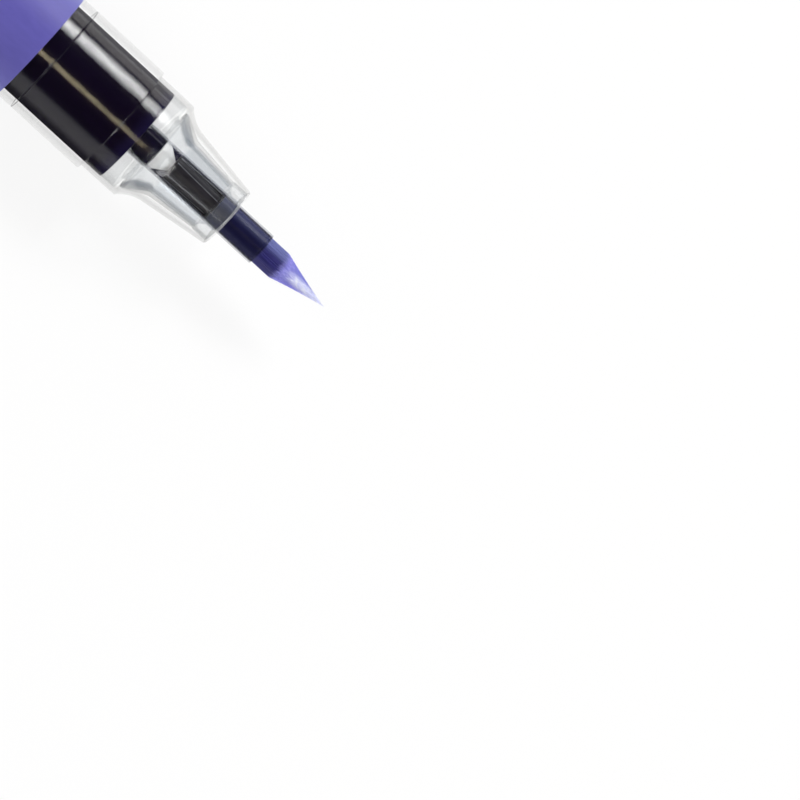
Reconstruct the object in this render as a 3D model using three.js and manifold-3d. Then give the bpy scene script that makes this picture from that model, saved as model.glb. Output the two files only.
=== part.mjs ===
// Brush-tip paint marker with a pump valve: clear barrel, clear valve front, and its cap posted on the tail.
// Millimetres, +Z up. The marker lies on its side with the tip towards +X, resting on its barrel, the
// cap's rim and the cap's clip. Its frame's origin is the middle of its box, on the surface it lies on.

import * as THREE from "three";
import { mergeVertices } from "three/addons/utils/BufferGeometryUtils.js";
import Module from "manifold-3d";

const wasm = await Module();
wasm.setup();

// Driving sizes. A station is a place along the marker's axis, counted from the front step where the
// cap stops. Stations in front of the step are positive.

// Barrel and label
const BARREL_RADIUS = 7;
const BARREL_WALL = 1;
const BARREL_LENGTH = 76.2;
const LAP_LENGTH = 3.5;
const LAP_THICKNESS = 0.45;
const LABEL_THICKNESS = 0.1;
const LABEL_SETBACK = 2;
const LABEL_REAR_MARGIN = 1;

// Front section
const COLLAR_LENGTH = 9.8;
const STEP_HEIGHT = 0.5;
const STEP_CHAMFER = 0.15;
const SPIGOT_LENGTH = 4.9;
const SPIGOT_DRAFT = 0.05;
const SHOULDER_LENGTH = 2.75;
const SHOULDER_SLOPE = 1.1;
const NOSE_LENGTH = 8.1;
const NOSE_BACK_RADIUS = 4.95;
const NOSE_END_RADIUS = 3.76;
const NOSE_WALL = 0.95;
const NOSE_FRONT_WALL = 0.7;
const NOSE_LIP = 0.32;
const NOSE_END_ROUND = 0.15;

// Parts stacked inside the front section
const SEAT_STATION = 2.45;
const SEAT_THICKNESS = 1.85;
const SEAT_BOSS_LENGTH = 0.9;
const CONE_WALL = 0.45;
const CONE_FLANGE_THICKNESS = 0.45;
const CONE_FLANGE_WIDTH = 0.8;
const CONE_CLEARANCE = 0.35;
const BUSH_LENGTH = 2;
const BUSH_CHAMFER = 0.8;

// Valve behind the seat
const CAGE_RADIUS = 3.6;
const CAGE_WALL = 0.7;
const CAGE_LENGTH = 10.6;
const CAGE_COLLAR_THICKNESS = 0.8;
const CAGE_WINDOWS = 4;
const CAGE_WINDOW_WIDTH = 1.8;
const CAGE_WINDOW_LENGTH = 5;
const CAGE_END_THICKNESS = 0.8;
const GASKET_THICKNESS = 0.35;
const GASKET_WIDTH = 1.05;
const PLUNGER_HEAD_RADIUS = 2.7;
const PLUNGER_HEAD_THICKNESS = 0.9;
const PLUNGER_STEM_RADIUS = 1.1;
const SPRING_RADIUS = 1.9;
const SPRING_WIRE_RADIUS = 0.2;
const SPRING_TURNS = 7;
const VALVE_TRAVEL = 1.5;

// Sleeve, plug, stem and brush, which move together
const SLEEVE_RADIUS = 2;
const SLEEVE_WALL = 0.2;
const SLEEVE_REACH = 5.1;
const SLEEVE_NOTCHES = 4;
const SLEEVE_NOTCH_WIDTH = 0.6;
const SLEEVE_NOTCH_DEPTH = 0.9;
const SLUG_LENGTH = 2.65;
const SLUG_CONE_LENGTH = 1.2;
const SLUG_REAR_RADIUS = 1.45;
const PLUG_BODY_LENGTH = 0.65;
const PLUG_CONE_LENGTH = 1.65;
const PLUG_TIP_RADIUS = 0.35;
const PLUG_TIP_SOCKET = 0.15;
const STEM_LENGTH = 6.5;
const STEM_FLUTES = 4;
const STEM_FLUTE_WIDTH = 0.96;
const STEM_FLUTE_DEPTH = 0.46;
const STEM_FLUTE_RISE = 0.36;
const STEM_FLUTE_LENGTH = 5.9;
const STEM_FLUTE_TURN = 21.5;
const TUFT_BUNDLE_LENGTH = 5.5;
const TUFT_FREE_LENGTH = 3.85;
const TUFT_POINT_LENGTH = 6.9;
const TUFT_STRANDS = 310;
const STRAND_SIDES = 3;

// Tail
const TAIL_FLANGE_LENGTH = 1.2;
const TAIL_SPIGOT_LENGTH = 8.5;
const TAIL_SPIGOT_CHAMFER = 0.5;
const TAIL_SKIRT_LENGTH = 4.5;
const TAIL_WALL = 1.1;
const SEAL_GROOVE_DEPTH = 0.45;
const SEAL_GROOVE_SETBACK = 1.5;

// Cap
const CAP_LENGTH = 36;
const CAP_WALL = 0.9;
const CAP_DRAFT = 0.3;
const CAP_END_WALL = 1.3;
const CAP_END_ROUND = 1.2;
const CAP_RIM_LENGTH = 1.6;
const CAP_RIM_CHAMFER = 0.3;
const LINER_RADIUS = 4.4;
const LINER_WALL = 0.6;
const LINER_BASE = 1;
const LINER_LENGTH = 23;
const CLIP_LENGTH = 28.5;
const CLIP_WIDTH = 4.6;
const CLIP_THICKNESS = 1.4;
const CLIP_GAP = 1.25;
const CLIP_FOOT_LENGTH = 3.6;
const CLIP_END_MARGIN = 2;
const CLIP_BUMP_GAP = 0.35;

// Mixing ball
const BALL_RADIUS = 2.4;

// Clearances
const FIT = 0.06;
const SLIDE_FIT = 0.1;
const JOINT_GAP = 0.05;

// Facets
const ROUND_SIDES = 36;
const SMALL_SIDES = 24;

// Sizes that follow from the driving ones
const boreRadius = BARREL_RADIUS - BARREL_WALL;
const stackRadius = boreRadius - FIT;
const spigotRadius = BARREL_RADIUS - STEP_HEIGHT;
const seamStation = -COLLAR_LENGTH;
const barrelRear = seamStation - BARREL_LENGTH;
const shoulderEnd = SPIGOT_LENGTH + SHOULDER_LENGTH;
const noseEnd = shoulderEnd + NOSE_LENGTH;
const noseTaper = (NOSE_BACK_RADIUS - NOSE_END_RADIUS) / NOSE_LENGTH;
const seatFront = SEAT_STATION + SEAT_THICKNESS;
const coneRear = seatFront + JOINT_GAP;
const ledgeStation = coneRear + CONE_FLANGE_THICKNESS + JOINT_GAP;
const bushSeat = noseEnd - BUSH_LENGTH - JOINT_GAP;
const bushRadius = NOSE_END_RADIUS - NOSE_LIP - FIT;
const coneFront = bushSeat - JOINT_GAP;
const coneFlangeInner = stackRadius - CONE_FLANGE_WIDTH;
const gasketInner = SLEEVE_RADIUS + 2 * SLIDE_FIT;
const gasketOuter = gasketInner + GASKET_WIDTH;
const valveFace = SEAT_STATION - JOINT_GAP - GASKET_THICKNESS - JOINT_GAP;
const cageFront = SEAT_STATION - JOINT_GAP;
const cageRear = cageFront - CAGE_COLLAR_THICKNESS - CAGE_LENGTH;
const sleeveRear = valveFace + JOINT_GAP;
const sleeveFront = noseEnd + SLEEVE_REACH;
const coreRadius = SLEEVE_RADIUS - SLEEVE_WALL - FIT;
const plugRear = seatFront + 1;
const plugTip = plugRear + PLUG_BODY_LENGTH + PLUG_CONE_LENGTH;
const stemRear = plugTip - PLUG_TIP_SOCKET;
const tuftRear = stemRear + STEM_LENGTH + JOINT_GAP;
const tailSkirtEnd = barrelRear + TAIL_SKIRT_LENGTH;
const tailStop = barrelRear - JOINT_GAP - TAIL_FLANGE_LENGTH;
const tailEnd = tailStop - TAIL_SPIGOT_LENGTH;
const ballStation = tailSkirtEnd + BALL_RADIUS + JOINT_GAP;
const capInner = spigotRadius + SLIDE_FIT;
const capRimRadius = capInner + CAP_WALL;

// A curve that leaves each end along its own slope: the concave run from the spigot to the nose.
function sweep(from, bend, to, steps) {
  const curve = new THREE.QuadraticBezierCurve(
    new THREE.Vector2(...from),
    new THREE.Vector2(...bend),
    new THREE.Vector2(...to)
  );
  return curve.getPoints(steps).map((point) => [point.x, point.y]);
}

// Turns an outline of [radius, station] pairs about the axis. It runs forward on the outside and back
// on the inside, and closes on itself unless both ends lie on the axis.
function turned(outline, sides = ROUND_SIDES) {
  const points = outline.map(([radius, station]) => new THREE.Vector2(radius, station));
  const onAxis = points[0].x === 0 && points.at(-1).x === 0;
  if (!onAxis) points.push(points[0].clone());
  return new THREE.LatheGeometry(points, sides);
}

// A plain ring between two radii and two stations.
function ring(inner, outer, rear, front, sides = ROUND_SIDES) {
  return turned([[inner, rear], [outer, rear], [outer, front], [inner, front]], sides);
}

function solidOf(geometry) {
  const bare = new THREE.BufferGeometry();
  bare.setAttribute("position", geometry.getAttribute("position"));
  if (geometry.index) bare.setIndex(geometry.index);
  const merged = mergeVertices(bare, 1e-4);
  const mesh = new wasm.Mesh({
    numProp: 3,
    vertProperties: merged.getAttribute("position").array,
    triVerts: new Uint32Array(merged.index.array),
  });
  return new wasm.Manifold(mesh);
}

function geometryOf(solid) {
  const mesh = solid.getMesh();
  const geometry = new THREE.BufferGeometry();
  geometry.setAttribute("position", new THREE.BufferAttribute(mesh.vertProperties, 3));
  geometry.setIndex(new THREE.BufferAttribute(mesh.triVerts, 1));
  geometry.computeVertexNormals();
  return geometry;
}

// The same cutter set at even angles round the axis and taken out of a turned piece.
function cutRound(geometry, cutter, count) {
  let solid = solidOf(geometry);
  for (let i = 0; i < count; i += 1) {
    const turnedCutter = cutter.clone().rotateY((2 * Math.PI * i) / count);
    solid = solid.subtract(solidOf(turnedCutter));
  }
  return geometryOf(solid);
}

const clear = { color: 0xf1f3f4, roughness: 0.06, metalness: 0, transparent: true, opacity: 0.3 };
const finishes = {
  clearBarrel: clear,
  clearFront: clear,
  clearInner: { ...clear, color: 0xdfe4ea, opacity: 0.4 },
  lavender: { color: 0x7a72d6, roughness: 0.45, metalness: 0 },
  lavenderCap: { color: 0x6f66cf, roughness: 0.25, metalness: 0 },
  paint: { color: 0x120a1e, roughness: 0.12, metalness: 0 },
  black: { color: 0x17161b, roughness: 0.35, metalness: 0 },
  rubber: { color: 0x202024, roughness: 0.8, metalness: 0 },
  white: { color: 0xf4f4f2, roughness: 0.4, metalness: 0 },
  steel: { color: 0xb9bcc0, roughness: 0.25, metalness: 1 },
  bristle: { color: 0x352c86, roughness: 0.6, metalness: 0 },
};

function piece(name, geometry, finish) {
  const mesh = new THREE.Mesh(geometry, new THREE.MeshStandardMaterial(finishes[finish]));
  mesh.name = name;
  return mesh;
}

// Clear tube with a thinned tongue that laps into the front section.
function barrel() {
  const tongueOuter = boreRadius + LAP_THICKNESS;
  return piece("barrel", turned([
    [boreRadius, barrelRear],
    [BARREL_RADIUS, barrelRear],
    [BARREL_RADIUS, seamStation - JOINT_GAP],
    [tongueOuter, seamStation - JOINT_GAP],
    [tongueOuter, seamStation + LAP_LENGTH],
    [boreRadius, seamStation + LAP_LENGTH],
  ]), "clearBarrel");
}

function label() {
  const inner = BARREL_RADIUS + JOINT_GAP / 2;
  const rear = barrelRear + LABEL_REAR_MARGIN;
  const front = seamStation - LABEL_SETBACK;
  return piece("label", ring(inner, inner + LABEL_THICKNESS, rear, front), "lavender");
}

// Collar, step, spigot for the cap, concave shoulder and tapered nose, hollow to an even wall.
function frontSection() {
  const shoulderRadius = spigotRadius - SPIGOT_DRAFT;
  const drop = shoulderRadius - NOSE_BACK_RADIUS;
  const bend = (drop - noseTaper * SHOULDER_LENGTH) / (SHOULDER_SLOPE - noseTaper);
  const outerSweep = sweep(
    [shoulderRadius, SPIGOT_LENGTH],
    [shoulderRadius - SHOULDER_SLOPE * bend, SPIGOT_LENGTH + bend],
    [NOSE_BACK_RADIUS, shoulderEnd],
    6
  );
  const ledgeRadius = coneFlangeInner + CONE_WALL * 0.5;
  const innerBack = NOSE_BACK_RADIUS - NOSE_WALL;
  const bushPocket = bushRadius + FIT;
  const innerFront = noseRadius(bushSeat) - NOSE_FRONT_WALL;
  const lapRadius = boreRadius + LAP_THICKNESS + FIT;
  return piece("front_section", turned([
    [lapRadius, seamStation],
    [BARREL_RADIUS, seamStation],
    [BARREL_RADIUS, -STEP_CHAMFER],
    [BARREL_RADIUS - STEP_CHAMFER, 0],
    [spigotRadius, 0],
    ...outerSweep,
    [NOSE_END_RADIUS, noseEnd - NOSE_END_ROUND],
    [NOSE_END_RADIUS - NOSE_END_ROUND, noseEnd],
    [bushPocket, noseEnd],
    [bushPocket, bushSeat],
    [innerFront, bushSeat],
    [innerBack, shoulderEnd],
    [ledgeRadius, ledgeStation],
    [boreRadius, ledgeStation],
    [boreRadius, seamStation + LAP_LENGTH + JOINT_GAP],
    [lapRadius, seamStation + LAP_LENGTH + JOINT_GAP],
  ]), "clearFront");
}

function noseRadius(station) {
  return NOSE_BACK_RADIUS - noseTaper * (station - shoulderEnd);
}

// Clear disc that ends the paint column. The sleeve runs through its hole, and its coned boss centres
// the guide cone.
function valveSeat() {
  const hole = SLEEVE_RADIUS + SLIDE_FIT;
  return piece("valve_seat", turned([
    [hole, SEAT_STATION],
    [stackRadius, SEAT_STATION],
    [stackRadius, seatFront],
    [coneInner(seatFront) - SLIDE_FIT, seatFront],
    [coneInner(seatFront + SEAT_BOSS_LENGTH) - SLIDE_FIT, seatFront + SEAT_BOSS_LENGTH],
    [hole, seatFront + SEAT_BOSS_LENGTH],
  ]), "clearInner");
}

// The cone's waist lies at the end of the shoulder, inside the nose's wall.
const waistStation = shoulderEnd - 0.4;
const waistOuter = NOSE_BACK_RADIUS - NOSE_WALL - CONE_CLEARANCE;
const coneFrontOuter = bushRadius - 2 * SLIDE_FIT;

function coneInner(station) {
  const slope = (coneFlangeInner - CONE_WALL - (waistOuter - CONE_WALL)) / (waistStation - coneRear);
  return coneFlangeInner - CONE_WALL - slope * (station - coneRear);
}

// Thin funnel that guides the sleeve's air space into the nose: flange, cone, waist and long taper.
function guideCone() {
  const flangeFront = coneRear + CONE_FLANGE_THICKNESS;
  return piece("guide_cone", turned([
    [coneInner(coneRear), coneRear],
    [stackRadius, coneRear],
    [stackRadius, flangeFront],
    [coneFlangeInner, flangeFront],
    [waistOuter, waistStation],
    [coneFrontOuter, coneFront],
    [coneFrontOuter - CONE_WALL, coneFront],
    [waistOuter - CONE_WALL, waistStation],
  ]), "clearInner");
}

// Ring in the nose's mouth that the sleeve slides through, coned at the back.
function noseBush() {
  const hole = SLEEVE_RADIUS + SLIDE_FIT;
  const rear = bushSeat + JOINT_GAP;
  return piece("nose_bush", turned([
    [hole, rear + BUSH_CHAMFER],
    [bushRadius - BUSH_CHAMFER, rear],
    [bushRadius, rear],
    [bushRadius, rear + BUSH_LENGTH - 2 * JOINT_GAP],
    [hole, rear + BUSH_LENGTH - 2 * JOINT_GAP],
  ]), "clearInner");
}

// Cage behind the seat: a collar in the bore, a pocket for the gasket, a windowed tube that lets the
// paint in, and an end wall that guides the plunger's stem.
function valveCage() {
  const inner = CAGE_RADIUS - CAGE_WALL;
  const collarRear = cageFront - CAGE_COLLAR_THICKNESS;
  const pocket = gasketOuter + JOINT_GAP;
  const pocketRear = valveFace;
  const tube = turned([
    [PLUNGER_STEM_RADIUS + SLIDE_FIT, cageRear],
    [CAGE_RADIUS, cageRear],
    [CAGE_RADIUS, collarRear],
    [stackRadius, collarRear],
    [stackRadius, cageFront],
    [pocket, cageFront],
    [pocket, pocketRear],
    [inner, pocketRear],
    [inner, cageRear + CAGE_END_THICKNESS],
    [PLUNGER_STEM_RADIUS + SLIDE_FIT, cageRear + CAGE_END_THICKNESS],
  ]);
  const window = new THREE.BoxGeometry(CAGE_RADIUS, CAGE_WINDOW_LENGTH, CAGE_WINDOW_WIDTH);
  window.translate(CAGE_RADIUS, (cageRear + collarRear) / 2, 0);
  return piece("valve_cage", cutRound(tube, window, CAGE_WINDOWS), "black");
}

function seatGasket() {
  const front = SEAT_STATION - JOINT_GAP;
  const gasket = ring(gasketInner, gasketOuter, front - GASKET_THICKNESS, front);
  return piece("seat_gasket", gasket, "rubber");
}

// Head that closes the seat, and the stem that the spring sits round.
function valvePlunger() {
  const headRear = valveFace - PLUNGER_HEAD_THICKNESS;
  return piece("valve_plunger", turned([
    [0, cageRear - JOINT_GAP],
    [PLUNGER_STEM_RADIUS, cageRear - JOINT_GAP],
    [PLUNGER_STEM_RADIUS, headRear],
    [PLUNGER_HEAD_RADIUS, headRear],
    [PLUNGER_HEAD_RADIUS, valveFace],
    [0, valveFace],
  ], SMALL_SIDES), "white");
}

class Helix extends THREE.Curve {
  constructor(radius, rear, front, turns) {
    super();
    Object.assign(this, { radius, rear, front, turns });
  }

  getPoint(t) {
    const angle = 2 * Math.PI * this.turns * t;
    const station = THREE.MathUtils.lerp(this.rear, this.front, t);
    return new THREE.Vector3(this.radius * Math.cos(angle), station, this.radius * Math.sin(angle));
  }
}

// Coil between the cage's end wall and the plunger's head.
function valveSpring() {
  const stepsPerTurn = 8;
  const wireSides = 5;
  const corners = Array.from({ length: wireSides }, (_, i) => {
    const angle = (2 * Math.PI * i) / wireSides;
    return new THREE.Vector2(Math.cos(angle), Math.sin(angle)).multiplyScalar(SPRING_WIRE_RADIUS);
  });
  const reach = SPRING_WIRE_RADIUS + JOINT_GAP;
  const rear = cageRear + CAGE_END_THICKNESS + reach;
  const front = valveFace - PLUNGER_HEAD_THICKNESS - reach;
  const helix = new Helix(SPRING_RADIUS, rear, front, SPRING_TURNS);
  const coil = new THREE.ExtrudeGeometry(new THREE.Shape(corners), {
    steps: stepsPerTurn * SPRING_TURNS,
    bevelEnabled: false,
    extrudePath: helix,
  });
  const gap = (front - rear) / SPRING_TURNS - 2 * SPRING_WIRE_RADIUS;
  console.log(`valve spring: least gap between turns ${gap.toFixed(2)} mm`);
  return piece("valve_spring", coil, "steel");
}

// The paint in the barrel: a full column, hollow in front round the valve cage.
function paintFill() {
  const outer = boreRadius - JOINT_GAP;
  const hollow = CAGE_RADIUS + 3 * JOINT_GAP;
  const hollowRear = cageRear - VALVE_TRAVEL - 4 * JOINT_GAP;
  const front = cageFront - CAGE_COLLAR_THICKNESS - JOINT_GAP;
  return piece("paint_fill", turned([
    [0, ballStation + BALL_RADIUS + 2 * JOINT_GAP],
    [outer, ballStation + BALL_RADIUS + 2 * JOINT_GAP],
    [outer, front],
    [hollow, front],
    [hollow, hollowRear],
    [0, hollowRear],
  ]), "paint");
}

// Thin clear tube that carries the brush. Notches in its rear rim let the paint in when it is pushed
// back past the seat.
function nibSleeve() {
  const tube = ring(SLEEVE_RADIUS - SLEEVE_WALL, SLEEVE_RADIUS, sleeveRear, sleeveFront, SMALL_SIDES);
  const notch = new THREE.BoxGeometry(SLEEVE_RADIUS, 2 * SLEEVE_NOTCH_DEPTH, SLEEVE_NOTCH_WIDTH);
  notch.translate(SLEEVE_RADIUS, sleeveRear, 0);
  return piece("nib_sleeve", cutRound(tube, notch, SLEEVE_NOTCHES), "clearBarrel");
}

function paintInSleeve() {
  const front = plugRear - JOINT_GAP;
  const rear = front - SLUG_LENGTH;
  return piece("paint_in_sleeve", turned([
    [0, rear],
    [SLUG_REAR_RADIUS, rear],
    [coreRadius, rear + SLUG_CONE_LENGTH],
    [coreRadius, front],
    [0, front],
  ], SMALL_SIDES), "paint");
}

// White plug: short full-width body and a blunt cone, whose tip sits in the stem.
function flowPlug() {
  const coneStart = plugRear + PLUG_BODY_LENGTH;
  const bend = (coreRadius + PLUG_TIP_RADIUS) / 2;
  const cone = sweep(
    [coreRadius, coneStart],
    [bend, coneStart + PLUG_CONE_LENGTH * 0.65],
    [PLUG_TIP_RADIUS, plugTip],
    5
  );
  return piece("flow_plug", turned([
    [0, plugRear],
    [coreRadius, plugRear],
    ...cone,
    [0, plugTip],
  ], SMALL_SIDES), "white");
}

// Dark stem between plug and brush: a socket for the plug's tip, and wide flutes that deepen forwards.
function nibHolder() {
  const front = stemRear + STEM_LENGTH;
  const socket = (PLUG_TIP_RADIUS + coreRadius) / 2;
  const stem = turned([
    [0, plugTip + JOINT_GAP],
    [socket, plugTip + JOINT_GAP],
    [socket, stemRear],
    [coreRadius, stemRear],
    [coreRadius, front],
    [0, front],
  ], SMALL_SIDES);
  const middleDepth = STEM_FLUTE_DEPTH - STEM_FLUTE_RISE / 2;
  const flute = new THREE.BoxGeometry(2 * middleDepth, STEM_FLUTE_LENGTH, STEM_FLUTE_WIDTH);
  flute.rotateZ(Math.atan(STEM_FLUTE_RISE / STEM_FLUTE_LENGTH));
  flute.translate(coreRadius, stemRear + STEM_LENGTH / 2, 0);
  flute.rotateY(THREE.MathUtils.degToRad(-STEM_FLUTE_TURN));
  return piece("nib_holder", cutRound(stem, flute, STEM_FLUTES), "black");
}

// How far the brush has narrowed, as a share of its full radius, at share u of its point.
function pointShare(u) {
  return (1 - u) ** 1.12;
}

// One closed filament. It runs straight out of the bundle, then follows the brush's point inwards, so
// no two cross: every filament is drawn in by the same share at the same station. It ends where the
// brush's outline has shrunk to its own place in the bundle.
function strand(place, angle, thickness, root, pointStart) {
  const end = 1 - place ** (1 / 0.62);
  const stops = [0, 0.35, 0.65, 0.87].filter((u) => u < end - 0.04);
  const rings = [[1, root], ...stops.map((u) => [pointShare(u) ** 0.45, pointStart + u * TUFT_POINT_LENGTH])];
  const full = coreRadius - thickness;
  const positions = [];
  const corner = (index, side) => {
    const [share, station] = rings[index];
    const turn = angle + (2 * Math.PI * side) / STRAND_SIDES;
    const x = share * (place * full * Math.cos(angle) + thickness * Math.cos(turn));
    const z = share * (place * full * Math.sin(angle) + thickness * Math.sin(turn));
    return [x, station, z];
  };
  const tipShare = pointShare(end) ** 0.45 * place * full;
  const tip = [
    tipShare * Math.cos(angle),
    pointStart + end * TUFT_POINT_LENGTH,
    tipShare * Math.sin(angle),
  ];
  const heel = [place * full * Math.cos(angle), root, place * full * Math.sin(angle)];
  for (let side = 0; side < STRAND_SIDES; side += 1) {
    const next = (side + 1) % STRAND_SIDES;
    positions.push(...heel, ...corner(0, side), ...corner(0, next));
    for (let i = 0; i + 1 < rings.length; i += 1) {
      positions.push(...corner(i, side), ...corner(i + 1, side), ...corner(i + 1, next));
      positions.push(...corner(i, side), ...corner(i + 1, next), ...corner(i, next));
    }
    const last = rings.length - 1;
    positions.push(...corner(last, side), ...tip, ...corner(last, next));
  }
  return positions;
}

// The brush: filaments set out like the seeds of a sunflower, fused into the bundle that the stem holds.
function brushTuft() {
  const bundleFront = tuftRear + TUFT_BUNDLE_LENGTH;
  const bundle = turned([
    [0, tuftRear],
    [coreRadius, tuftRear],
    [coreRadius, bundleFront],
    [0, bundleFront],
  ], SMALL_SIDES);
  const spacing = (1.9 * coreRadius) / Math.sqrt(TUFT_STRANDS);
  const thickness = 0.42 * spacing;
  const goldenAngle = Math.PI * (3 - Math.sqrt(5));
  const root = bundleFront - 2 * SLIDE_FIT;
  const positions = [];
  for (let i = 0; i < TUFT_STRANDS; i += 1) {
    const place = Math.sqrt((i + 0.5) / TUFT_STRANDS) * 0.97;
    positions.push(...strand(place, i * goldenAngle, thickness, root, bundleFront + TUFT_FREE_LENGTH));
  }
  const filaments = new THREE.BufferGeometry();
  filaments.setAttribute("position", new THREE.Float32BufferAttribute(positions, 3));
  return piece("brush_tuft", geometryOf(solidOf(bundle).add(solidOf(filaments))), "bristle");
}

// Rear closure: a skirt sealed in the bore, a flange against the barrel, and the spigot for the cap.
function tailPlug() {
  const grooveFront = tailSkirtEnd - SEAL_GROOVE_SETBACK;
  const grooveRear = grooveFront - 3 * SEAL_GROOVE_DEPTH;
  const groove = stackRadius - SEAL_GROOVE_DEPTH;
  const hollow = groove - TAIL_WALL / 2;
  return piece("tail_plug", turned([
    [0, tailEnd],
    [spigotRadius - TAIL_SPIGOT_CHAMFER, tailEnd],
    [spigotRadius, tailEnd + TAIL_SPIGOT_CHAMFER],
    [spigotRadius, tailStop],
    [BARREL_RADIUS, tailStop],
    [BARREL_RADIUS, barrelRear - JOINT_GAP],
    [stackRadius, barrelRear - JOINT_GAP],
    [stackRadius, grooveRear],
    [groove, grooveRear],
    [groove, grooveFront],
    [stackRadius, grooveFront],
    [stackRadius, tailSkirtEnd],
    [hollow, tailSkirtEnd],
    [hollow, tailEnd + TAIL_WALL],
    [0, tailEnd + TAIL_WALL],
  ]), "lavenderCap");
}

function tailSeal() {
  const inner = stackRadius - SEAL_GROOVE_DEPTH + JOINT_GAP / 2;
  const outer = boreRadius - JOINT_GAP / 2;
  const cord = (outer - inner) / 2;
  const station = tailSkirtEnd - SEAL_GROOVE_SETBACK - 1.5 * SEAL_GROOVE_DEPTH;
  const steps = 8;
  const section = Array.from({ length: steps }, (_, i) => {
    const angle = (2 * Math.PI * i) / steps;
    return [inner + cord + cord * Math.cos(angle), station + cord * Math.sin(angle)];
  });
  return piece("tail_seal", turned(section), "rubber");
}

function mixingBall() {
  const ball = piece("mixing_ball", new THREE.SphereGeometry(BALL_RADIUS, SMALL_SIDES, 12), "steel");
  const lowest = boreRadius * Math.cos(Math.PI / ROUND_SIDES) - BALL_RADIUS - SLIDE_FIT;
  ball.position.set(0, ballStation, -lowest);
  return ball;
}

// Radius of the cap's outside and inside at a depth behind its mouth.
function capOuter(depth) {
  return capRimRadius - (CAP_DRAFT * depth) / CAP_LENGTH;
}

function capBore(depth) {
  return capInner - (CAP_DRAFT * depth) / CAP_LENGTH;
}

// The clip's side outline in the plane of depth and height: a foot on the cap, a curved neck, a long
// arm, and a bump that grips a pocket's edge.
function clipSolid() {
  const rootDepth = CAP_LENGTH - CLIP_END_MARGIN;
  const tipDepth = rootDepth - CLIP_LENGTH;
  const embed = Math.sqrt(capOuter(CAP_LENGTH) ** 2 - (CLIP_WIDTH / 2) ** 2) - CAP_WALL / 4;
  const armInner = capRimRadius + CLIP_GAP;
  const armOuter = armInner + CLIP_THICKNESS;
  const tipOuter = armOuter - CLIP_THICKNESS / 4;
  const bump = capRimRadius + CLIP_BUMP_GAP;
  const outline = new THREE.Shape();
  outline.moveTo(embed, -rootDepth);
  outline.lineTo(armInner, -rootDepth);
  outline.quadraticCurveTo(armOuter, -rootDepth, armOuter, -(rootDepth - CLIP_FOOT_LENGTH));
  outline.lineTo(tipOuter, -(tipDepth + CLIP_THICKNESS));
  outline.quadraticCurveTo(tipOuter, -tipDepth, armInner, -tipDepth);
  outline.quadraticCurveTo(bump, -(tipDepth + CLIP_THICKNESS), bump, -(tipDepth + 2 * CLIP_THICKNESS));
  outline.quadraticCurveTo(
    bump, -(tipDepth + 3 * CLIP_THICKNESS), armInner, -(tipDepth + 4 * CLIP_THICKNESS)
  );
  outline.lineTo(armInner, -(rootDepth - CLIP_FOOT_LENGTH));
  outline.quadraticCurveTo(
    capOuter(rootDepth), -(rootDepth - CLIP_FOOT_LENGTH), embed, -(rootDepth - CLIP_FOOT_LENGTH)
  );
  const arm = new THREE.ExtrudeGeometry(outline, {
    depth: CLIP_WIDTH,
    curveSegments: 5,
    bevelEnabled: false,
  });
  arm.translate(0, 0, -CLIP_WIDTH / 2);
  return solidOf(arm);
}

// Cap shell: open mouth with a plain rim band, slightly tapered tube, rounded closed end, and the clip.
function capShell() {
  const innerEnd = CAP_LENGTH - CAP_END_WALL;
  const round = sweep(
    [capOuter(CAP_LENGTH) - CAP_END_ROUND, -CAP_LENGTH],
    [capOuter(CAP_LENGTH), -CAP_LENGTH],
    [capOuter(CAP_LENGTH), -(CAP_LENGTH - CAP_END_ROUND)],
    4
  );
  const rimStep = CAP_RIM_CHAMFER / 2;
  const shell = turned([
    [0, -CAP_LENGTH],
    ...round,
    [capOuter(CAP_RIM_LENGTH) - rimStep, -(CAP_RIM_LENGTH + rimStep)],
    [capRimRadius, -CAP_RIM_LENGTH],
    [capRimRadius, -CAP_RIM_CHAMFER],
    [capRimRadius - CAP_RIM_CHAMFER, 0],
    [capInner + CAP_RIM_CHAMFER, 0],
    [capInner, -CAP_RIM_CHAMFER],
    [capInner, -(TAIL_SPIGOT_LENGTH + 1)],
    [capBore(innerEnd), -innerEnd],
    [0, -innerEnd],
  ]);
  return piece("cap_shell", geometryOf(solidOf(shell).add(clipSolid())), "lavenderCap");
}

// Inner cup that closes round the nose when the marker is capped.
function capLiner() {
  const baseDepth = CAP_LENGTH - CAP_END_WALL - JOINT_GAP;
  const cupDepth = baseDepth - LINER_BASE;
  const mouthDepth = baseDepth - LINER_LENGTH;
  const outer = LINER_RADIUS + LINER_WALL;
  const base = capBore(baseDepth) - FIT;
  return piece("cap_liner", turned([
    [0, -baseDepth],
    [base, -baseDepth],
    [base, -cupDepth],
    [outer, -cupDepth],
    [outer, -mouthDepth],
    [LINER_RADIUS + LINER_WALL / 2, -mouthDepth],
    [LINER_RADIUS, -(mouthDepth + LINER_WALL)],
    [LINER_RADIUS, -cupDepth],
    [0, -cupDepth],
  ]), "white");
}

// The cap posted on the tail, turned so that its rim and the clip's corner touch the same surface.
function postedCap() {
  const cap = new THREE.Group();
  cap.add(capShell(), capLiner());
  cap.position.y = tailStop - JOINT_GAP;
  const clipOuter = capRimRadius + CLIP_GAP + CLIP_THICKNESS;
  const corner = Math.atan2(CLIP_WIDTH / 2, clipOuter);
  const reach = Math.hypot(clipOuter, CLIP_WIDTH / 2);
  const fromBelow = corner + Math.acos(capRimRadius / reach);
  cap.rotation.y = Math.PI / 2 - fromBelow;
  return cap;
}

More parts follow.
